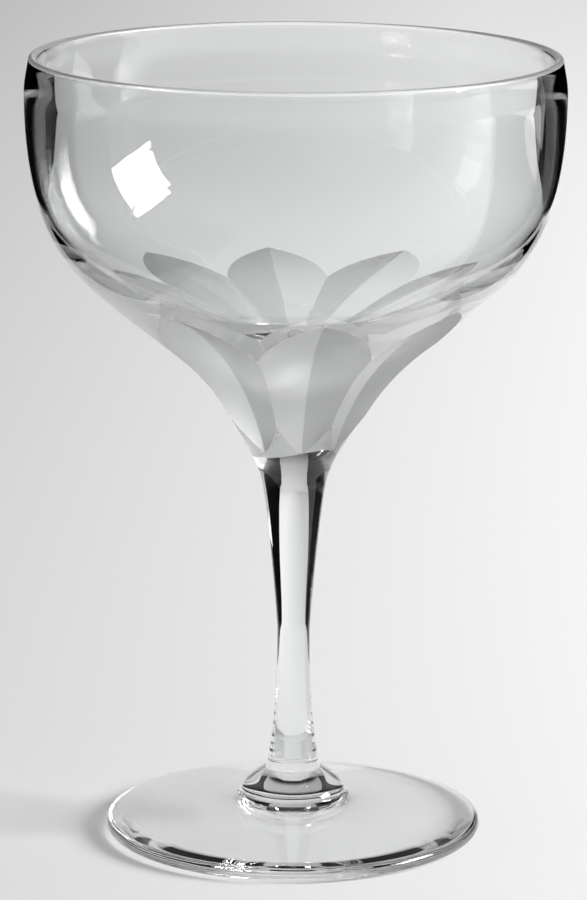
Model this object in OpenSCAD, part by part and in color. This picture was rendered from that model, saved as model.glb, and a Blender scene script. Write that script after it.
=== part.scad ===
// Sherbet glass: a wide bowl with a ring of ground petals on a drawn stem and a round foot.
// The base point is the middle of the foot on the table; +Z is up and -Y is the front. Sizes are in mm.

/* [Heights] */
// Height of the lip above the table
height = 140; // [125:1:160]
// Height of the joint between stem and bowl
bowl_z = 64.4; // [58:0.2:70]
// Height of the joint between foot and stem
stem_z = 11.2; // [10:0.1:14]

/* [Bowl] */
// Outside diameter across the lip
rim_d = 93.2; // [90:0.2:94.4]
// Widest outside diameter
bowl_d = 94.8; // [94.6:0.2:104]
// Depth of the widest ring below the lip
wide_drop = 6.5; // [4:0.5:10]
// Outside diameter where the shoulder starts
turn_d = 63; // [60:0.5:69]
// Height of that ring above the joint with the stem
turn_rise = 31.2; // [28:0.2:32.4]
// Slope of the outside where the shoulder starts, in degrees from level
turn_angle = 42; // [36:1:48]
// Thickness of the rounded lip
lip_t = 1.4; // [1:0.1:2]
// Thickness of the wall at the widest ring
wall_t = 1.8; // [1.2:0.1:2.4]
// Thickness of the solid base between the joint and the floor of the bowl
base_t = 19.6; // [17:0.2:23]
// Inside diameter where the cone of the floor starts
cone_d = 66.2; // [60:0.2:68]
// Height of that ring above the joint with the stem
cone_rise = 35.7; // [34.8:0.1:39]
// Slope of the cone of the floor, in degrees from level
cone_angle = 37; // [32:1:42]

/* [Petals] */
// Petals ground round the base of the bowl
petal_count = 8; // [6:1:10]
// Turn of the first petal from the front, in degrees
petal_turn = 8.4; // [0:0.1:45]
// Height of the petal tips above the joint with the stem
petal_tip = 6.3; // [5.4:0.1:8]
// Height of the petal tops above the joint with the stem
petal_top = 34.1; // [30:0.1:35]
// Depth of the hollow down the middle of a petal
petal_hollow = 4.15; // [3.4:0.05:4.6]
// Slope of the two halves of a petal towards its crease, in degrees
petal_slope = 8; // [5:0.5:9]
// Width of the grinding wheel
wheel_w = 26; // [24:1:34]

/* [Stem] */
// Diameter of the stem at its joint with the bowl
neck_d = 11.7; // [10:0.1:13.4]
// Slope of the outline where the stem flows into the bowl, in degrees from level
neck_angle = 76; // [70:1:82]
// Diameter of the thinnest part of the stem
waist_d = 5.8; // [5:0.1:7.5]
// Height of the thinnest part above the joint with the foot
waist_rise = 25.9; // [20:0.1:31]
// Diameter of the joint between stem and foot
ankle_d = 9.8; // [8.6:0.1:11]

/* [Foot] */
// Outside diameter of the foot
foot_d = 67.2; // [60:0.2:76]
// Radius of the rounded edge of the foot
edge_r = 1.25; // [0.9:0.05:1.8]
// Diameter of the boss under the stem
boss_d = 18.6; // [15:0.2:21]
// Height of the upper face of the foot beside the boss
boss_z = 6.2; // [5:0.1:7.5]
// Radius of the blend between boss and upper face
blend_r = 0.8; // [0.4:0.1:1.4]
// Width of the flat ring that the foot stands on
ring_w = 4.35; // [2.5:0.05:6]
// Depth of the hollow under the foot
hollow_h = 3.1; // [2:0.1:4.2]

/* [Hidden] */
$fn = 120;
glass_tint = [0.86, 0.9, 0.92, 0.5];

// A smooth curve leaves p at angle a with pull l and reaches q at angle b with pull m; p itself is left out.
function ray(a, l) = l * [cos(a), sin(a)];
function cubic(p, u, v, q, t) =
    pow(1 - t, 3) * p + 3 * t * pow(1 - t, 2) * u + 3 * t * t * (1 - t) * v + pow(t, 3) * q;
function curve(p, a, l, q, b, m, n) = [for (i = [1:n]) cubic(p, p + ray(a, l), q - ray(b, m), q, i / n)];
function arc(c, r, a, b, n) = [for (i = [0:n]) c + ray(a + (b - a) * i / n, r)];

// Rings of the bowl as [radius, height]
neck = [neck_d / 2, bowl_z];
turn = [turn_d / 2, bowl_z + turn_rise];
wide = [bowl_d / 2, height - wide_drop];
lip_r = lip_t / 2;
lip_mid = [rim_d / 2 - lip_r, height - lip_r];
lip_lean = 8;
lip_out = lip_mid + ray(lip_lean, lip_r);
lip_in = lip_mid - ray(-lip_lean, lip_r);
wide_in = wide - [wall_t, 0];
cone = [cone_d / 2, bowl_z + cone_rise];
floor_mid = [0, bowl_z + base_t];

// Outside of the bowl from the joint up to the lip
flare = norm(turn - neck);
side = concat(
    [neck],
    curve(neck, neck_angle, flare * 0.286, turn, turn_angle, flare * 0.042, 20),
    curve(turn, turn_angle, turn_rise * 0.3, wide, 90, (wide[1] - turn[1]) * 0.7, 18),
    curve(wide, 90, wide_drop / 3, lip_out, 90 + lip_lean, wide_drop / 3, 5));

// Inside of the bowl from the lip down to the floor
drop = wide_in[1] - cone[1];
hollow = concat(
    [lip_in],
    curve(lip_in, -90 + lip_lean, wide_drop / 3, wide_in, -90, wide_drop / 3, 5),
    curve(wide_in, -90, drop * 0.51, cone, 180 + cone_angle, drop * 0.41, 16),
    curve(cone, 180 + cone_angle, cone[0] * 0.15, floor_mid, 180, cone[0] * 0.25, 12));

// The wheel touches the outside of the bowl at the tip and at the top of a petal
function side_r(z) = lookup(z, [for (p = side) [p[1], p[0]]]);
tip = [side_r(bowl_z + petal_tip), bowl_z + petal_tip];
top = [side_r(bowl_z + petal_top), bowl_z + petal_top];
chord = norm(top - tip);
wheel_r = (pow(chord / 2, 2) + pow(petal_hollow, 2)) / (2 * petal_hollow);
wheel_mid = (tip + top) / 2 + (wheel_r - petal_hollow) * [top[1] - tip[1], tip[0] - top[0]] / chord;

// Rings of the stem and foot
ankle = [ankle_d / 2, stem_z];
waist = [waist_d / 2, stem_z + waist_rise];
foot_r = foot_d / 2;
top_slope = atan((boss_z - 2 * edge_r) / (foot_r - edge_r - boss_d / 2 - blend_r));
edge_mid = [foot_r - edge_r, edge_r];
ring_in = [foot_r - edge_r - ring_w, 0];
boss_out = [boss_d / 2 + blend_r, boss_z];
boss_in = [boss_d / 2, boss_z + blend_r];

module bowl_body() {
    rotate_extrude() polygon(concat(
        [[0, bowl_z]], side, arc(lip_mid, lip_r, lip_lean + 15, 165 - lip_lean, 8), hollow));
}

// V-edged disc across the X axis that grinds one petal
module petal_wheel() {
    w = wheel_w / 2;
    translate([wheel_mid[0], 0, wheel_mid[1]]) rotate([90, 0, 0]) rotate_extrude() polygon([
        [0, -w], [wheel_r - w * tan(petal_slope), -w], [wheel_r, 0],
        [wheel_r - w * tan(petal_slope), w], [0, w]]);
}

// Blown bowl with a thick base
module bowl() {
    color(glass_tint) difference() {
        bowl_body();
        for (i = [0:petal_count - 1])
            rotate([0, 0, petal_turn - 90 + i * 360 / petal_count]) petal_wheel();
    }
}

// Solid drawn stem, thinnest low down and flared at both ends
module stem() {
    rise = neck[1] - waist[1];
    color(glass_tint) rotate_extrude() polygon(concat(
        [[0, stem_z], ankle],
        curve(ankle, 103, waist_rise * 0.3, waist, 90, waist_rise * 0.36, 12),
        curve(waist, 90, rise * 0.03, neck, neck_angle, rise * 0.2, 18),
        [[0, bowl_z]]));
}

// Round foot with a rounded edge, a low boss for the stem and a hollow underside
module foot() {
    color(glass_tint) rotate_extrude() polygon(concat(
        [[0, hollow_h]],
        curve([0, hollow_h], 0, ring_in[0] * 0.32, ring_in, -top_slope, ring_in[0] * 0.32, 10),
        arc(edge_mid, edge_r, -90, 90 - top_slope, 10),
        [boss_out],
        curve(boss_out, 180 - top_slope, blend_r * 0.5, boss_in, 100, blend_r * 0.5, 4),
        curve(boss_in, 100, (stem_z - boss_in[1]) * 0.4, ankle, 150, (boss_d - ankle_d) / 5, 8),
        [[0, stem_z]]));
}

bowl();
stem();
foot();
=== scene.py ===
# %% [markdown]
# # A stemmed sherbet glass
# Three pieces of clear crystal are fused into one glass: a wide bowl with a ring of
# frosted petals ground round its thick base, a slim stem and a round foot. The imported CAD
# model is the frame. Every mesh below is made in its own place, in metres, so nothing has
# to be moved afterwards.

# %% Load the frame
import math

import bmesh
import bpy
import numpy as np
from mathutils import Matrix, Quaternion, Vector


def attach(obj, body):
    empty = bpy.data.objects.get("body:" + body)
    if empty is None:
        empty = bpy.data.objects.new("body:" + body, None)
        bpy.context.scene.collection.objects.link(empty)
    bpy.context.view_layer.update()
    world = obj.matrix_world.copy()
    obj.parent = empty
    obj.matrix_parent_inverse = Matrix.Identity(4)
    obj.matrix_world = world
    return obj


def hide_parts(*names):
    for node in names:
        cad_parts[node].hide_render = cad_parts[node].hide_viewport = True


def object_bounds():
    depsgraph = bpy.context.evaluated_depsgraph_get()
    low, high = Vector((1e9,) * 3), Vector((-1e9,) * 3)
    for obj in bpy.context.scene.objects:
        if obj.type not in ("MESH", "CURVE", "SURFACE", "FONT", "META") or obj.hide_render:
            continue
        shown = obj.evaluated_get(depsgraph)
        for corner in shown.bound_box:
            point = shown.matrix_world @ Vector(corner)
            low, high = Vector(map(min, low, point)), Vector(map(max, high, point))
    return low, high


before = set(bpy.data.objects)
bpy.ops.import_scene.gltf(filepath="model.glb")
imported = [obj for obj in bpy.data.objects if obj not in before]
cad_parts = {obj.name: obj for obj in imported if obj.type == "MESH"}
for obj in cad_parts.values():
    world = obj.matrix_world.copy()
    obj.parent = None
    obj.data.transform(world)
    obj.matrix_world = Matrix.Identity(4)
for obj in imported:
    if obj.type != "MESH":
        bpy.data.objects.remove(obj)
cad_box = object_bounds()
scene = bpy.context.scene
scene.view_settings.view_transform = "Standard"
print("CAD box in mm:", [[round(1000 * v, 2) for v in corner] for corner in cad_box])

# %% [markdown]
# ## Camera
# The rim and the foot are true circles, so the flatness of their two ellipses gives the
# height and the tilt of the camera. It stands about 0.8 m in front of the glass, looks down
# by 13 degrees through a long lens, and leans by a quarter of a degree. It could be set by
# eye, but a camera that is worked out lets outlines be compared line by line.

# %% Camera
IMAGE_LONG_SIDE = 900
FOCAL_PIXELS = 4453
LOOKS_DOWN, LEANS = 12.772, 0.247
camera_data = bpy.data.cameras.new("camera")
camera_data.sensor_width = 36
camera_data.lens = FOCAL_PIXELS * camera_data.sensor_width / IMAGE_LONG_SIDE
camera_data.shift_x = -0.0009
camera = bpy.data.objects.new("camera", camera_data)
camera.location = (0, -0.7707, 0.2442)
camera.rotation_mode = "XYZ"
camera.rotation_euler = (math.radians(90 - LOOKS_DOWN), 0, 0)
camera.rotation_euler.rotate_axis("Z", math.radians(LEANS))
scene.collection.objects.link(camera)
scene.camera = camera
print("lens:", round(camera_data.lens, 1), "mm")

# %% [markdown]
# ## Outlines
# A glass like this is turned, so each piece starts as an outline of radius and height in
# millimetres. A curve object would do, but a formula can be sampled at any row of the mesh.
# A smooth curve that leaves one ring at a given slope and reaches the next at another draws
# all of them, with the same sizes as the CAD model.

# %% Smooth curves between rings
def ray(angle, length):
    return length * np.array((math.cos(math.radians(angle)), math.sin(math.radians(angle))))


def curve(start, leave, pull, end, reach, hold, count):
    """Cubic curve from start, left out, to end; pull and hold say how far it keeps each slope."""
    start, end = np.array(start, float), np.array(end, float)
    t = (np.arange(1, count + 1) / count)[:, None]
    u, v = start + ray(leave, pull), end - ray(reach, hold)
    return (1 - t) ** 3 * start + 3 * t * (1 - t) ** 2 * u + 3 * t * t * (1 - t) * v + t**3 * end


def arc(middle, radius, first, last, count):
    return np.array(middle) + [ray(a, radius) for a in np.linspace(first, last, count + 1)]


print("a quarter circle in 8 steps has", len(arc((0, 0), 1, 0, 90, 8)), "points")

# %% Rings of the bowl
# Radii and heights in mm, slopes in degrees from level. The shoulder starts at the turn, and
# inside, the floor starts to slope at the cone.
BOWL_Z, HEIGHT = 64.4, 140.0
NECK_R, NECK_ANGLE = 5.85, 76
TURN_R, TURN_RISE, TURN_ANGLE = 31.5, 31.2, 42
WIDE_R, WIDE_DROP, WALL = 47.4, 6.5, 1.8
RIM_R, LIP_R, LIP_LEAN = 46.6, 0.7, 8
CONE_R, CONE_RISE, CONE_ANGLE = 33.1, 35.7, 37
BASE = 19.6

neck = np.array((NECK_R, BOWL_Z))
turn = np.array((TURN_R, BOWL_Z + TURN_RISE))
wide = np.array((WIDE_R, HEIGHT - WIDE_DROP))
lip_mid = np.array((RIM_R - LIP_R, HEIGHT - LIP_R))
lip_out, lip_in = lip_mid + ray(LIP_LEAN, LIP_R), lip_mid - ray(-LIP_LEAN, LIP_R)
wide_in = wide - (WALL, 0)
cone = np.array((CONE_R, BOWL_Z + CONE_RISE))
floor_mid = np.array((0.0, BOWL_Z + BASE))
print("bowl: neck", neck, "widest", wide, "floor at", floor_mid[1])

# %% Outline of the bowl
flare = np.linalg.norm(turn - neck)
shoulder = wide[1] - turn[1]
side = np.vstack((
    [neck],
    curve(neck, NECK_ANGLE, flare * 0.286, turn, TURN_ANGLE, flare * 0.042, 300),
    curve(turn, TURN_ANGLE, TURN_RISE * 0.3, wide, 90, shoulder * 0.7, 300),
    curve(wide, 90, WIDE_DROP / 3, lip_out, 90 + LIP_LEAN, WIDE_DROP / 3, 60),
))
lip = arc(lip_mid, LIP_R, LIP_LEAN, 180 - LIP_LEAN, 12)[1:]
drop = wide_in[1] - cone[1]
hollow = np.vstack((
    curve(lip_in, -90 + LIP_LEAN, WIDE_DROP / 3, wide_in, -90, WIDE_DROP / 3, 6),
    curve(wide_in, -90, drop * 0.51, cone, 180 + CONE_ANGLE, drop * 0.41, 40),
    curve(cone, 180 + CONE_ANGLE, cone[0] * 0.15, floor_mid, 180, cone[0] * 0.25, 40),
))
print("outline:", len(side), "points outside,", len(lip), "over the lip,", len(hollow), "inside")

# %% [markdown]
# ## Petals
# A grinding wheel with a V edge has touched the base of the bowl eight times. Each touch
# leaves a hollow petal: two flanks that meet in a crease, a pointed tip near the stem and a
# round top. A boolean would leave ragged triangles there, and clear glass shows each one.
# So the radius of the ground surface is solved from the wheel's own formula, and the columns
# of the mesh are squeezed sideways until one of them runs exactly along the petal's edge.

# %% The wheel that grinds a petal
PETALS = 8
PETAL_TURN = 8.4
TIP_RISE, TOP_RISE = 6.3, 34.1
PETAL_HOLLOW = 4.15
FLANK = math.tan(math.radians(8))


def side_radius(z):
    return np.interp(z, side[:, 1], side[:, 0])


tip_z, top_z = BOWL_Z + TIP_RISE, BOWL_Z + TOP_RISE
tip, top = np.array((side_radius(tip_z), tip_z)), np.array((side_radius(top_z), top_z))
chord = np.linalg.norm(top - tip)
wheel_r = ((chord / 2) ** 2 + PETAL_HOLLOW**2) / (2 * PETAL_HOLLOW)
outwards = np.array((top[1] - tip[1], tip[0] - top[0])) / chord
wheel_mid = (tip + top) / 2 + (wheel_r - PETAL_HOLLOW) * outwards
print("wheel: radius", round(wheel_r, 1), "mm, axis at", wheel_mid.round(1))


# %% Where the wheel meets the glass
def ground_radius(z, angle):
    """Radius of the ground surface; far away where the wheel doesn't reach."""
    a, b, k = np.cos(angle), np.abs(np.sin(angle)) * FLANK, z - wheel_mid[1]
    p, q = a * wheel_mid[0] - b * wheel_r, a * a - b * b
    inside = p * p - q * (wheel_mid[0] ** 2 + k * k - wheel_r**2)
    return np.where(inside > 0, (p - np.sqrt(np.maximum(inside, 0))) / q, 1e3)


def petal_half_angle(z):
    """Angle from the crease to the petal's edge, by halving the gap between cut and uncut."""
    low, high = np.zeros_like(z), np.full_like(z, math.pi / PETALS)
    for _ in range(50):
        middle = (low + high) / 2
        cut = ground_radius(z, middle) < side_radius(z)
        low, high = np.where(cut, middle, low), np.where(cut, high, middle)
    return low


widest = petal_half_angle(np.linspace(tip_z, top_z, 50)).max()
print("petal: up to", round(math.degrees(2 * widest), 1), "degrees of the ring")

# %% [markdown]
# ## One petal's slice of the bowl
# The bowl repeats every 45 degrees. One slice is a grid of rows up the outside, over the lip
# and down the inside, with 17 columns to each side of the petal's crease. Inside the petal
# the rows crowd towards its tip and top, where its edge is round. Above and below, the
# columns spread out evenly again.

# %% Rows of the slice
HALF = math.pi / PETALS
INNER_COLUMNS, OUTER_COLUMNS = 12, 5
EVEN_WIDTH = HALF * INNER_COLUMNS / (INNER_COLUMNS + OUTER_COLUMNS)
# The petal's edge keeps these angles from the crease and from the next slice, and this far
# above the petal, in mm, the columns are even again.
LEAST_WIDTH, LEAST_GAP = math.radians(0.5), math.radians(0.35)
SPREAD_RISE = 14
BELOW_ROWS, PETAL_ROWS, ABOVE_ROWS, LIP_ROWS = 12, 51, 33, 7
CROWD = 1.15

ease = (1 - np.cos(np.linspace(0, math.pi, PETAL_ROWS))) / 2
petal_z = tip_z + (top_z - tip_z) * ease
above_z = top_z + (wide[1] - top_z) * np.linspace(0, 1, ABOVE_ROWS)[1:] ** CROWD
rise_z = np.linspace(wide[1], lip_out[1], LIP_ROWS)[1:]
below_z = np.linspace(BOWL_Z, tip_z, BELOW_ROWS)[:-1]
outer_z = np.concatenate((below_z, petal_z, above_z, rise_z))
in_petal = (outer_z >= tip_z) & (outer_z <= top_z)

width = np.where(in_petal, petal_half_angle(outer_z), 0.0)
width = np.clip(width, LEAST_WIDTH, HALF - LEAST_GAP)
spread = np.clip((outer_z - top_z) / SPREAD_RISE, 0, 1)
width = np.where(outer_z > top_z, width + (EVEN_WIDTH - width) * spread, width)
below = (outer_z - BOWL_Z) / (tip_z - BOWL_Z)
width = np.where(outer_z < tip_z, EVEN_WIDTH + (width - EVEN_WIDTH) * below, width)
print("slice:", len(outer_z), "rows outside,", int(in_petal.sum()), "of them in the petal")


# %% Columns of the slice
def column_angles(width):
    """Angles of a row: even steps to the petal's edge, then on to the slice's edge."""
    inner = width * np.linspace(0, 1, INNER_COLUMNS + 1)
    outer = width + (HALF - width) * np.linspace(0, 1, OUTER_COLUMNS + 1)[1:]
    half = np.concatenate((inner, outer))
    return np.concatenate((-half[:0:-1], half))


angles = np.array([column_angles(w) for w in width])
even = column_angles(EVEN_WIDTH)
plain = side_radius(outer_z)[:, None] + 0 * angles
ground = np.minimum(plain, ground_radius(outer_z[:, None], angles))
outer_r = np.where(in_petal[:, None], ground, plain)
print(angles.shape[1], "columns; deepest cut", round(float((plain - outer_r).max()), 2), "mm")

# %% Mesh of the slice
# The CAD's box is measured on flat facets. If it is narrower than the circle, so is the mesh.
MM = 0.001
FIT = min((cad_box[1][0] - cad_box[0][0]) / (2 * wide[0] * MM), 1)


def slice_mesh(name, radius, angle, height):
    """Grid of points from rows of radius, angle and height, in mm and radians."""
    rows, columns = radius.shape
    points = np.stack((radius * np.cos(angle), radius * np.sin(angle), height), axis=2) * MM
    points[:, :, :2] *= FIT
    corner = np.arange(rows * columns).reshape(rows, columns)
    faces = np.stack((corner[:-1, :-1], corner[:-1, 1:], corner[1:, 1:], corner[1:, :-1]), axis=2)
    mesh = bpy.data.meshes.new(name)
    mesh.from_pydata(points.reshape(-1, 3).tolist(), [], faces.reshape(-1, 4).tolist(),
                     shade_flat=False)
    return mesh


under = np.array([(0, BOWL_Z)])
rest = np.vstack((lip, hollow))
radius = np.vstack((under[:, :1] + 0 * even, outer_r, rest[:, :1] + 0 * even))
angle = np.vstack((np.tile(even, (len(under), 1)), angles, np.tile(even, (len(rest), 1))))
height = np.vstack((
    under[:, 1:] + 0 * even, outer_z[:, None] + 0 * angles, rest[:, 1:] + 0 * even))
bowl_slice = slice_mesh("bowl", radius, angle, height)
print("one slice:", len(bowl_slice.polygons), "faces")

# %% [markdown]
# ## Marks on the slice
# Three face attributes say what goes where: the ground petal, the clockwise half of it,
# and the lip. The clockwise half is painted lighter and the other half darker: painted
# light and shade for how the lamps fall on the two flanks. Attributes travel through
# Geometry Nodes with the faces, so each copy of the slice brings its marks along. Sharp
# edges keep the crease and the rim of a petal crisp although the rest is shaded smooth.

# %% Finish of each face
# A face counts as ground where the cut is deeper than this, in mm.
LEAST_DEPTH = 0.002


def mark_faces(name, kind, values):
    bowl_slice.attributes.new(name, kind, "FACE").data.foreach_set("value", values.ravel())


depth = np.zeros_like(radius)
depth[len(under):len(under) + len(outer_z)] = plain - outer_r
deep = (depth[:-1, :-1] + depth[:-1, 1:] + depth[1:, 1:] + depth[1:, :-1]) / 4 > LEAST_DEPTH
clockwise = np.arange(deep.shape[1]) < deep.shape[1] // 2
over_lip = np.zeros_like(deep)
lip_row = len(under) + len(outer_z) - 1
over_lip[lip_row:lip_row + len(lip)] = True
mark_faces("frosted", "BOOLEAN", deep)
# The clockwise half of each petal is marked for painted light: it is painted lighter than the
# other half.
mark_faces("painted_light_half", "FLOAT", (deep & clockwise).astype(float))
mark_faces("lip", "BOOLEAN", over_lip)
print("frosted:", int(deep.sum()), "faces; lip:", int(over_lip.sum()))

# %% Sharp edges of the petal
columns = radius.shape[1]
crease = columns // 2
sharp_columns = {0, crease - INNER_COLUMNS, crease, crease + INNER_COLUMNS, columns - 1}
in_cut = np.concatenate((np.zeros(len(under), bool), in_petal, np.zeros(len(rest), bool)))
sharp = bowl_slice.attributes.new("sharp_edge", "BOOLEAN", "EDGE")
padded = np.pad(deep, 1)
for line in bowl_slice.edges:
    (row_a, column_a), (row_b, column_b) = (divmod(v, columns) for v in line.vertices)
    upright = column_a == column_b and column_a in sharp_columns
    in_rows = in_cut[row_a] and in_cut[row_b]
    beside = padded[min(row_a, row_b) + 1, column_a:column_a + 2]
    sharp.data[line.index].value = bool(upright and in_rows and beside.any())
print("sharp edges:", sum(item.value for item in sharp.data))

# %% [markdown]
# ## Slices of the stem and the foot
# These two are plain turned shapes, so a slice is a strip one step wide. The stem is thinnest
# low down and flares into both neighbours. The foot has a rounded edge, a low boss for the
# stem and a shallow hollow underneath, so that it stands on a ring. Screw or Spin would turn
# them too, but the strip shares the tree that the petals need.

# %% Outline of the stem
STEM_Z, WAIST_RISE = 11.2, 25.9
ANKLE_R, WAIST_R = 4.9, 2.9
ankle = np.array((ANKLE_R, STEM_Z))
waist = np.array((WAIST_R, STEM_Z + WAIST_RISE))
stem_rise = neck[1] - waist[1]
stem_line = np.vstack((
    [(0, STEM_Z), ankle],
    curve(ankle, 103, WAIST_RISE * 0.3, waist, 90, WAIST_RISE * 0.36, 40),
    curve(waist, 90, stem_rise * 0.03, neck, NECK_ANGLE, stem_rise * 0.2, 60),
    [(0, BOWL_Z)],
))
print("stem:", len(stem_line), "rings")

# %% Outline of the foot
FOOT_R, EDGE_R, BOSS_R, BOSS_Z, BLEND = 33.6, 1.25, 9.3, 6.2, 0.8
HOLLOW_R, HOLLOW_H = 28.0, 3.1
top_run = FOOT_R - EDGE_R - BOSS_R - BLEND
top_slope = math.degrees(math.atan((BOSS_Z - 2 * EDGE_R) / top_run))
boss_out, boss_in = np.array((BOSS_R + BLEND, BOSS_Z)), np.array((BOSS_R, BOSS_Z + BLEND))
boss_rise, boss_step = STEM_Z - boss_in[1], BOSS_R - ankle[0]
foot_edge = arc((FOOT_R - EDGE_R, EDGE_R), EDGE_R, -90, 90 - top_slope, 24)
foot_line = np.vstack((
    [(0, HOLLOW_H)],
    curve((0, HOLLOW_H), 0, HOLLOW_R * 0.32, (HOLLOW_R, 0), -top_slope, HOLLOW_R * 0.32, 40),
    foot_edge,
    foot_edge[-1] + (boss_out - foot_edge[-1]) * np.linspace(0, 1, 12)[1:, None],
    curve(boss_out, 180 - top_slope, BLEND * 0.5, boss_in, 100, BLEND * 0.5, 10),
    curve(boss_in, 100, boss_rise * 0.4, ankle, 150, boss_step * 0.4, 30),
    [(0, STEM_Z)],
))
print("foot:", len(foot_line), "rings; slope", round(top_slope, 1), "degrees")

# %% Strips one step wide
STEM_STEPS, FOOT_STEPS = 128, 192


def strip(name, line, steps):
    turn_by = np.array((-math.pi / steps, math.pi / steps))
    radius, height = np.repeat(line[:, :1], 2, axis=1), np.repeat(line[:, 1:], 2, axis=1)
    return slice_mesh(name, radius, np.tile(turn_by, (len(line), 1)), height)


stem_slice = strip("stem", stem_line, STEM_STEPS)
foot_slice = strip("foot", foot_line, FOOT_STEPS)
print("strips:", len(stem_slice.polygons), "and", len(foot_slice.polygons), "faces")

# %% [markdown]
# ## Materials
# All of the glass is one melt. What differs is its surface: fire-polished where it was blown
# and drawn, matt where the wheel ground it, and a little soft at the melted lip. A Glass node
# would do for the clear parts, but a Principled node can do all of them and can be exported.
# One helper adds a node, so each material reads as a list of what it is made from.

# %% Colour and node helpers
def linear(hex_colour):
    channels = [int(hex_colour[i:i + 2], 16) / 255 for i in (1, 3, 5)]
    return [c / 12.92 if c <= 0.04045 else ((c + 0.055) / 1.055) ** 2.4 for c in channels] + [1.0]


def add(tree, kind, inputs=None, **settings):
    """Add a node; an input is a value, or another node's output to link."""
    node = tree.nodes.new(kind)
    for name, value in settings.items():
        setattr(node, name, value)
    for name, value in (inputs or {}).items():
        if isinstance(value, bpy.types.NodeSocket):
            tree.links.new(value, node.inputs[name])
        else:
            node.inputs[name].default_value = value
    return node


def new_material(name):
    material = bpy.data.materials.new(name)
    material.use_nodes = True
    material.node_tree.nodes.clear()
    return material, material.node_tree


print("mid grey #808080 is", round(linear("#808080")[0], 3), "in linear light")

# %% Fire-polished crystal
# Colourless and mirror-smooth. Blown walls are never quite even, so reflections waver a
# little: the bump is a slow swell about 20 mm long.
CRYSTAL_IOR = 1.52
SWELL_MM = 20
polished, tree = new_material("fire_polished_crystal")
place = add(tree, "ShaderNodeTexCoord").outputs["Object"]
swell = add(tree, "ShaderNodeTexNoise", {
    "Vector": place, "Scale": 1 / (SWELL_MM * MM), "Detail": 1.0})
waver = add(tree, "ShaderNodeBump", {
    "Strength": 0.02, "Distance": 0.001, "Height": swell.outputs["Fac"]})
glass = add(tree, "ShaderNodeBsdfPrincipled", {
    "Base Color": linear("#FDFEFE"), "Roughness": 0.0, "IOR": CRYSTAL_IOR,
    "Transmission Weight": 1.0, "Normal": waver.outputs["Normal"]})
add(tree, "ShaderNodeOutputMaterial", {"Surface": glass.outputs["BSDF"]})
print(polished.name, "with", len(tree.nodes), "nodes")

# %% Ground crystal
# The wheel leaves a skin of fine pits that scatters light, so the petals look pale and
# satin. The marked half of a petal is painted lighter and a little less clear, the other
# half darker and greyer: painted light and shade for how the lamps fall on the two
# flanks. Real grit is under 0.1 mm; it is drawn at 0.3 mm to show, and the satin
# changes in clouds of 4 mm.
GRIT_MM, CLOUD_MM = 0.3, 4
ground_skin, tree = new_material("wheel_ground_crystal")
place = add(tree, "ShaderNodeTexCoord").outputs["Object"]
grit = add(tree, "ShaderNodeTexNoise", {
    "Vector": place, "Scale": 1 / (GRIT_MM * MM), "Detail": 2.0})
cloud = add(tree, "ShaderNodeTexNoise", {
    "Vector": place, "Scale": 1 / (CLOUD_MM * MM), "Detail": 3.0})
satin = add(tree, "ShaderNodeMapRange", {
    "Value": cloud.outputs["Fac"], "From Min": 0.3, "From Max": 0.7,
    "To Min": 0.62, "To Max": 0.76})
# Painted light and shade: the marked half is painted lighter and less clear, the other half
# darker.
half_mark = add(tree, "ShaderNodeAttribute", attribute_name="painted_light_half").outputs["Fac"]
through = add(tree, "ShaderNodeMapRange", {"Value": half_mark, "To Min": 0.92, "To Max": 0.86})
painted_half_shade = add(tree, "ShaderNodeMix", {
    "Factor": half_mark, 6: linear("#D4D5D5"), 7: linear("#F4F5F5")}, data_type="RGBA")
pits = add(tree, "ShaderNodeBump", {
    "Strength": 0.15, "Distance": 0.0001, "Height": grit.outputs["Fac"]})
frost = add(tree, "ShaderNodeBsdfPrincipled", {
    "Base Color": painted_half_shade.outputs[2], "Roughness": satin.outputs["Result"], "IOR": CRYSTAL_IOR,
    "Transmission Weight": through.outputs["Result"], "Normal": pits.outputs["Normal"]})
add(tree, "ShaderNodeOutputMaterial", {"Surface": frost.outputs["BSDF"]})
print(ground_skin.name, "with", len(tree.nodes), "nodes")

# %% Melted lip
# The lip was cut and then melted smooth in a flame, which leaves it a little soft: it
# catches light from many sides and draws a pale line. The flow varies every 6 mm.
FLOW_MM = 6
soft_lip, tree = new_material("melted_crystal_lip")
place = add(tree, "ShaderNodeTexCoord").outputs["Object"]
flow = add(tree, "ShaderNodeTexNoise", {
    "Vector": place, "Scale": 1 / (FLOW_MM * MM), "Detail": 2.0})
softness = add(tree, "ShaderNodeMapRange", {
    "Value": flow.outputs["Fac"], "To Min": 0.3, "To Max": 0.5})
lip_glass = add(tree, "ShaderNodeBsdfPrincipled", {
    "Base Color": linear("#FAFBFB"), "Roughness": softness.outputs["Result"],
    "IOR": CRYSTAL_IOR, "Transmission Weight": 0.8})
add(tree, "ShaderNodeOutputMaterial", {"Surface": lip_glass.outputs["BSDF"]})
print(soft_lip.name, "with", len(tree.nodes), "nodes")

# %% Fused joint
# Where two pieces are fused there is no surface left to see, so the two faces that meet
# inside the glass let everything through.
fused, tree = new_material("fused_joint")
clear = add(tree, "ShaderNodeBsdfPrincipled", {"Base Color": linear("#FFFFFF"), "Alpha": 0.0})
add(tree, "ShaderNodeOutputMaterial", {"Surface": clear.outputs["BSDF"]})
print("materials:", polished.name, ground_skin.name, soft_lip.name, fused.name)

# %% [markdown]
# ## Repeating a slice round the axis
# Eight petal slices make the bowl, and many thin strips make the stem and the foot: the same
# rule with another count. So one Geometry Nodes tree serves all three. It turns copies of a
# slice about the axis, welds their seams and gives each face its finish.

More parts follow.
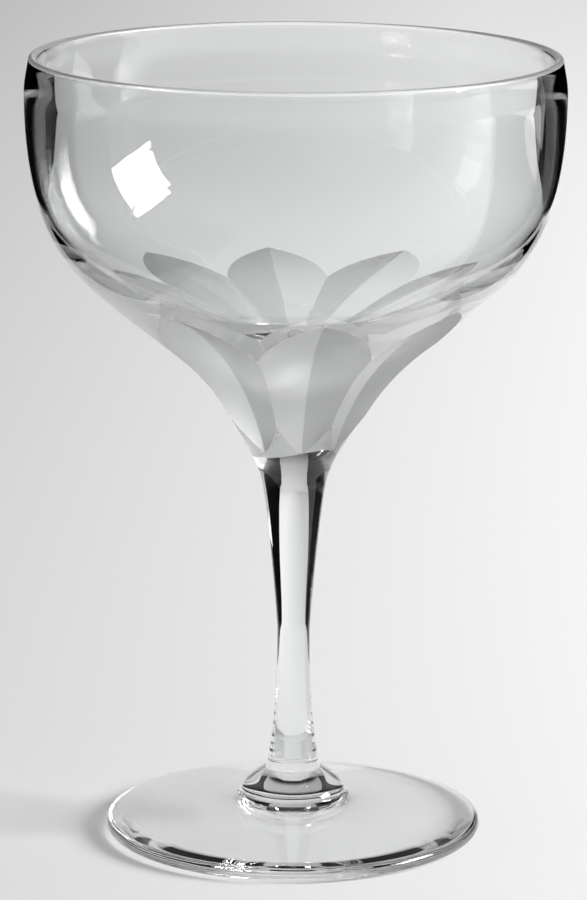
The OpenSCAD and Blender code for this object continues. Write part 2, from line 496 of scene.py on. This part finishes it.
# %% Inputs of the tree
ring = bpy.data.node_groups.new("slices_round_the_axis", "GeometryNodeTree")
INPUTS = {
    "Slice": "NodeSocketGeometry", "Count": "NodeSocketInt", "First angle": "NodeSocketFloat",
    "Lower joint": "NodeSocketFloat", "Upper joint": "NodeSocketFloat",
    "Polished": "NodeSocketMaterial", "Ground": "NodeSocketMaterial",
    "Lip": "NodeSocketMaterial", "Fused": "NodeSocketMaterial"}
for name, kind in INPUTS.items():
    ring.interface.new_socket(name, in_out="INPUT", socket_type=kind)
ring.interface.new_socket("Glass", in_out="OUTPUT", socket_type="NodeSocketGeometry")
SOCKET = {item.name: item.identifier for item in ring.interface.items_tree}
print("inputs:", ", ".join(INPUTS))

# %% Copies of the slice
# Points closer than this, in metres, are welded.
WELD = 2e-6
sizes = add(ring, "NodeGroupInput").outputs
points = add(ring, "GeometryNodePoints", {"Count": sizes["Count"]})
index = add(ring, "GeometryNodeInputIndex")
step = add(ring, "ShaderNodeMath", {0: math.tau, 1: sizes["Count"]}, operation="DIVIDE")
turned = add(ring, "ShaderNodeMath", {
    0: index.outputs[0], 1: step.outputs[0], 2: sizes["First angle"]}, operation="MULTIPLY_ADD")
spin = add(ring, "ShaderNodeCombineXYZ", {"Z": turned.outputs[0]})
copies = add(ring, "GeometryNodeInstanceOnPoints", {
    "Points": points.outputs[0], "Instance": sizes["Slice"], "Rotation": spin.outputs[0]})
real = add(ring, "GeometryNodeRealizeInstances", {"Geometry": copies.outputs[0]})
welded = add(ring, "GeometryNodeMergeByDistance", {"Geometry": real.outputs[0], "Distance": WELD})
print("copies:", len(ring.nodes), "nodes")

# %% Finish of each copy
result = add(ring, "GeometryNodeSetMaterial", {
    "Geometry": welded.outputs[0], "Material": sizes["Polished"]})
for mark, finish in (("frosted", "Ground"), ("lip", "Lip")):
    marked = add(ring, "GeometryNodeInputNamedAttribute", {"Name": mark}, data_type="BOOLEAN")
    result = add(ring, "GeometryNodeSetMaterial", {
        "Geometry": result.outputs[0], "Selection": marked.outputs[0], "Material": sizes[finish]})
position = add(ring, "GeometryNodeInputPosition")
where = add(ring, "ShaderNodeSeparateXYZ", {"Vector": position.outputs[0]})
for joint in ("Lower joint", "Upper joint"):
    level = add(ring, "FunctionNodeCompare", {
        "A": where.outputs["Z"], "B": sizes[joint], "Epsilon": WELD},
        data_type="FLOAT", operation="EQUAL")
    result = add(ring, "GeometryNodeSetMaterial", {
        "Geometry": result.outputs[0], "Selection": level.outputs[0], "Material": sizes["Fused"]})
add(ring, "NodeGroupOutput", {"Glass": result.outputs[0]})
print("tree:", ring.name, "with", len(ring.nodes), "nodes")

# %% [markdown]
# ## The three pieces
# Each piece is its slice with the tree on it. The result is taken off as a plain mesh, so
# that it needs no modifier afterwards. Its faces are turned outwards, hard corners are
# marked sharp, and it takes the place of its CAD node.

# %% From slice to plain mesh
SHARP_CORNER = math.radians(35)


def turned_mesh(piece, count, first_angle, lower, upper):
    """Run the tree on a piece and give back the result as a plain mesh."""
    modifier = piece.modifiers.new("ring", "NODES")
    modifier.node_group = ring
    values = {
        "Count": count, "First angle": first_angle,
        "Lower joint": lower * MM, "Upper joint": upper * MM,
        "Polished": polished, "Ground": ground_skin, "Lip": soft_lip, "Fused": fused}
    for name, value in values.items():
        modifier[SOCKET[name]] = value
    graph = bpy.context.evaluated_depsgraph_get()
    whole = bpy.data.meshes.new_from_object(piece.evaluated_get(graph), depsgraph=graph)
    piece.modifiers.clear()
    return whole


def finish_mesh(mesh):
    """Turn faces outwards and mark hard corners; give back open edges and volume in ml."""
    shape = bmesh.new()
    shape.from_mesh(mesh)
    bmesh.ops.recalc_face_normals(shape, faces=shape.faces)
    for edge in shape.edges:
        if edge.is_manifold and edge.calc_face_angle() > SHARP_CORNER:
            edge.smooth = False
    open_edges = sum(not edge.is_manifold for edge in shape.edges)
    volume = shape.calc_volume() * 1e6
    shape.to_mesh(mesh)
    shape.free()
    return open_edges, volume


print("corners over", round(math.degrees(SHARP_CORNER)), "degrees stay sharp")

# %% Make the three pieces
NO_JOINT = -1000.0


def make_piece(mesh, node, *turning):
    mesh.materials.append(polished)
    piece = bpy.data.objects.new(f"crystal_{node}", mesh)
    scene.collection.objects.link(piece)
    piece.data = turned_mesh(piece, *turning)
    open_edges, volume = finish_mesh(piece.data)
    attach(piece, "root")
    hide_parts(node)
    print(node, len(piece.data.polygons), "faces,", open_edges, "open edges,", round(volume, 2),
          "ml,", [m.name for m in piece.data.materials])
    return piece


make_piece(bowl_slice, "bowl", PETALS, math.radians(PETAL_TURN - 90), BOWL_Z, NO_JOINT)
make_piece(stem_slice, "stem", STEM_STEPS, 0.0, STEM_Z, BOWL_Z)
foot = make_piece(foot_slice, "foot", FOOT_STEPS, 0.0, NO_JOINT, STEM_Z)

# %% [markdown]
# ## Stage
# Clear glass shows only what is around it, and with lamps alone its edges would hardly show.
# A pale paper floor fills the view. Its colour is painted lighter to the right: painted light
# for how paper brightens towards a lamp. It ends behind the picture, where the backdrop
# carries on in its tone. Black cards lie and stand just outside the picture: the curved walls
# and the stem bend light from them into the dark bands that draw the edges of the glass. A
# last card in front fades out towards the glass. The camera itself never sees the cards, and
# they throw no shadow. Sizes are in metres.

# %% Floor
FLOOR_Z, FLOOR_REACH, FLOOR_END = -0.0004, 8, 1.6
PAINTED_LIGHT_SLANT = (1.2, 0.06, 0.0)
PAPER_GREY, PAPER_DARKEST, PAPER_LIGHTEST = 0.755, 0.62, 0.92


def stage_mesh(name, points, faces, material):
    mesh = bpy.data.meshes.new(name)
    mesh.from_pydata(points, [], faces)
    mesh.materials.append(material)
    sheet = bpy.data.objects.new(name, mesh)
    scene.collection.objects.link(sheet)
    return sheet


def flat_sheet(name, corners, material):
    return stage_mesh(name, corners, [tuple(range(len(corners)))], material)


def level_corners(reach, back, z):
    return [(-reach, -reach, z), (reach, -reach, z), (reach, back, z), (-reach, back, z)]


# Matt paper with painted light: its grey is painted lighter by the slant's share per metre
# to the right and to the back.
paper, tree = new_material("pale_paper")
place = add(tree, "ShaderNodeTexCoord").outputs["Object"]
slant = add(tree, "ShaderNodeVectorMath", {0: place, 1: PAINTED_LIGHT_SLANT}, operation="DOT_PRODUCT")
tone = add(tree, "ShaderNodeMath", {0: slant.outputs["Value"], 1: PAPER_GREY}, operation="ADD")
kept = add(tree, "ShaderNodeClamp", {
    "Value": tone.outputs[0], "Min": PAPER_DARKEST, "Max": PAPER_LIGHTEST})
matt_paper = add(tree, "ShaderNodeBsdfPrincipled", {
    "Base Color": kept.outputs[0], "Roughness": 0.9, "Specular IOR Level": 0.0})
add(tree, "ShaderNodeOutputMaterial", {"Surface": matt_paper.outputs["BSDF"]})
flat_sheet("floor", level_corners(FLOOR_REACH, FLOOR_END, FLOOR_Z), paper)
print("floor ends", FLOOR_END, "m behind the glass")

# %% Black cards
# Matt black paper that gives nearly no light back.
CARD_Y, CARD_TOP, LYING_FAR = 0.35, 0.6, 2.0
card_edge = [
    (0.19, 0.0), (0.156, 0.02), (0.127, 0.042), (0.098, 0.08), (0.09, 0.15), (0.086, CARD_TOP)]
black, tree = new_material("black_card")
matt_black = add(tree, "ShaderNodeBsdfPrincipled", {
    "Base Color": linear("#040404"), "Roughness": 0.9, "Specular IOR Level": 0.0})
add(tree, "ShaderNodeOutputMaterial", {"Surface": matt_black.outputs["BSDF"]})


def hide_card(card):
    card.visible_camera = card.visible_shadow = card.visible_diffuse = False


for side_name, sign, far, near in (("left", -1, 2.0, -0.2), ("right", 1, 0.5, 0.0)):
    standing = [(sign * x, CARD_Y, z) for x, z in card_edge + [(far, CARD_TOP), (far, 0.0)]]
    inner = [(0.085, near), (0.085, 0.05), (0.14, 0.235), (0.19, CARD_Y)]
    outer = [(LYING_FAR, CARD_Y), (LYING_FAR, near)]
    lying = [(sign * x, y, 0.0) for x, y in inner + outer]
    for name, corners in (("standing", standing), ("lying", lying)):
        hide_card(flat_sheet(f"{side_name}_{name}_card", corners[::sign], black))
print("standing cards from", card_edge[0], "up to", card_edge[-1], "m")

# %% Front card
# The same black paper, which fades to nothing near the glass.
FRONT_REACH, FADE_FROM, FADE_TO = 3, -0.4, -0.08
fading, tree = new_material("fading_black_card")
place = add(tree, "ShaderNodeTexCoord").outputs["Object"]
along = add(tree, "ShaderNodeSeparateXYZ", {"Vector": place}).outputs["Y"]
fade = add(tree, "ShaderNodeMapRange", {
    "Value": along, "From Min": FADE_FROM, "From Max": FADE_TO, "To Min": 0.8, "To Max": 0.0})
soft_black = add(tree, "ShaderNodeBsdfPrincipled", {
    "Base Color": linear("#040404"), "Roughness": 0.9, "Specular IOR Level": 0.0,
    "Alpha": fade.outputs["Result"]})
add(tree, "ShaderNodeOutputMaterial", {"Surface": soft_black.outputs["BSDF"]})
hide_card(flat_sheet("front_card", level_corners(FRONT_REACH, FADE_TO, 0.0), fading))
print("front card fades from", FADE_FROM, "to", FADE_TO, "m")

# %% [markdown]
# ## Shade of the foot
# Real glass lets lamp light through to the table. In a render, shadow rays stop at glass, so
# the foot would throw a shadow as if it were solid; caustics would bring some light back, but
# they are slow and grainy. Here the foot throws no shadow, and a narrow ring at its edge, which
# only shadow rays meet, throws the shade that the thick edge leaves on the paper.

# %% Ring that shades the paper
SHADE_R, SHADE_LOW, SHADE_HIGH, SHADE_STEPS = 0.033, 0.0002, 0.0022, 96
foot.visible_shadow = foot.visible_diffuse = False
turns = np.linspace(0, math.tau, SHADE_STEPS + 1)[:-1]
circle = [(SHADE_R * math.cos(a), SHADE_R * math.sin(a)) for a in turns]
band = [(x, y, z) for z in (SHADE_LOW, SHADE_HIGH) for x, y in circle]
following = [(i + 1) % SHADE_STEPS for i in range(SHADE_STEPS)]
walls = [(i, j, SHADE_STEPS + j, SHADE_STEPS + i) for i, j in enumerate(following)]
shade = stage_mesh("edge_shade", band, walls, black)
shade.visible_camera = shade.visible_diffuse = False
shade.visible_glossy = shade.visible_transmission = False
print("shade ring:", len(walls), "faces")

# %% [markdown]
# ## Light
# The room is plain: matt surfaces get an even light from the world. What the camera and the
# glass see of it is a pale backdrop that darkens upwards and to the left, with a dim room in
# front and the glow of a window on the left. A softbox on the right is the key light and a
# weak one on the left fills in. The petals also get the light that a table throws up at
# them, from a lamp below on the left that throws no shadow. Light is caught inside thick
# glass and needs more bounces than usual to find its way out.

# %% What the glass sees of the room
scene.cycles.max_bounces = 16
scene.cycles.glossy_bounces = scene.cycles.transmission_bounces = 14
# The key's highlight in the bowl comes by an indirect path, so those are not clamped.
scene.cycles.sample_clamp_indirect = 0
world = bpy.data.worlds.new("studio")
scene.world = world
world.use_nodes = True
tree = world.node_tree
tree.nodes.clear()
view = add(tree, "ShaderNodeTexCoord").outputs["Generated"]
way = add(tree, "ShaderNodeSeparateXYZ", {"Vector": view})
backdrop = add(tree, "ShaderNodeValToRGB", {"Fac": way.outputs["Z"]})
stops = backdrop.color_ramp.elements
stops[0].color, stops[1].color = linear("#D0D0D0"), linear("#303030")
for level, grey in ((0.07, "#CCCCCC"), (0.42, "#B0B0B0"), (0.75, "#404040")):
    stops.new(level).color = linear(grey)
BACK_RIGHT, FRONT_LEFT = (0.5, 0.866, 0.0), (-0.75, -0.66, 0.0)
to_back = add(tree, "ShaderNodeVectorMath", {0: view, 1: BACK_RIGHT}, operation="DOT_PRODUCT")
strength = add(tree, "ShaderNodeMapRange", {
    "Value": to_back.outputs["Value"], "From Min": 0.1, "From Max": 0.95,
    "To Min": 0.08, "To Max": 1.1})
to_left = add(tree, "ShaderNodeVectorMath", {0: view, 1: FRONT_LEFT}, operation="DOT_PRODUCT")
window = add(tree, "ShaderNodeMapRange", {
    "Value": to_left.outputs["Value"], "From Min": 0.5, "From Max": 1.0,
    "To Min": 0.0, "To Max": 0.45})
brighter = add(tree, "ShaderNodeMath", {
    0: strength.outputs["Result"], 1: window.outputs["Result"]}, operation="MAXIMUM")
seen = add(tree, "ShaderNodeBackground", {
    "Color": backdrop.outputs["Color"], "Strength": brighter.outputs[0]})
print("backdrop:", len(stops), "tones from the floor up")

# %% What lights the paper
# Rays from the camera, mirrors and glass see the backdrop. A ray that has met matt paper gets
# the even light.
lit = add(tree, "ShaderNodeBackground", {"Color": linear("#FFFFFF"), "Strength": 0.52})
path = add(tree, "ShaderNodeLightPath").outputs
first = add(tree, "ShaderNodeMath", {
    0: path["Is Camera Ray"], 1: path["Is Glossy Ray"]}, operation="MAXIMUM")
second = add(tree, "ShaderNodeMath", {
    0: first.outputs[0], 1: path["Is Transmission Ray"]}, operation="MAXIMUM")
clean = add(tree, "ShaderNodeMath", {0: path["Diffuse Depth"], 1: 0.5}, operation="LESS_THAN")
looking = add(tree, "ShaderNodeMath", {
    0: second.outputs[0], 1: clean.outputs[0]}, operation="MULTIPLY")
both = add(tree, "ShaderNodeMixShader", {
    0: looking.outputs[0], 1: lit.outputs[0], 2: seen.outputs[0]})
add(tree, "ShaderNodeOutputWorld", {"Surface": both.outputs[0]})
print("world:", len(tree.nodes), "nodes")

# %% Softboxes
LAMP_DISTANCE = 2.0
LAMP_AIM = Vector((0, 0, 0.1))


def softbox(name, direction, size, power, roll=0):
    data = bpy.data.lights.new(name, "AREA")
    data.shape, (data.size, data.size_y), data.energy = "RECTANGLE", size, power
    lamp = bpy.data.objects.new(name, data)
    way = Vector(direction).normalized()
    lamp.location = way * LAMP_DISTANCE + LAMP_AIM
    lamp.rotation_mode = "QUATERNION"
    facing = way.to_track_quat("Z", "Y")
    lamp.rotation_quaternion = facing @ Quaternion((0, 0, 1), math.radians(roll))
    scene.collection.objects.link(lamp)
    print(name, "softbox:", power, "W, size", size, "m")
    return lamp


softbox("key", (0.93, -0.12, 0.37), (0.9, 0.66), 55, roll=8)
softbox("fill", (-0.973, 0.034, 0.225), (0.45, 0.3), 0.5)
wash = softbox("wash", (-0.75, -0.6, -0.2), (1.5, 1.5), 60)
wash.visible_glossy = wash.visible_transmission = wash.data.use_shadow = False
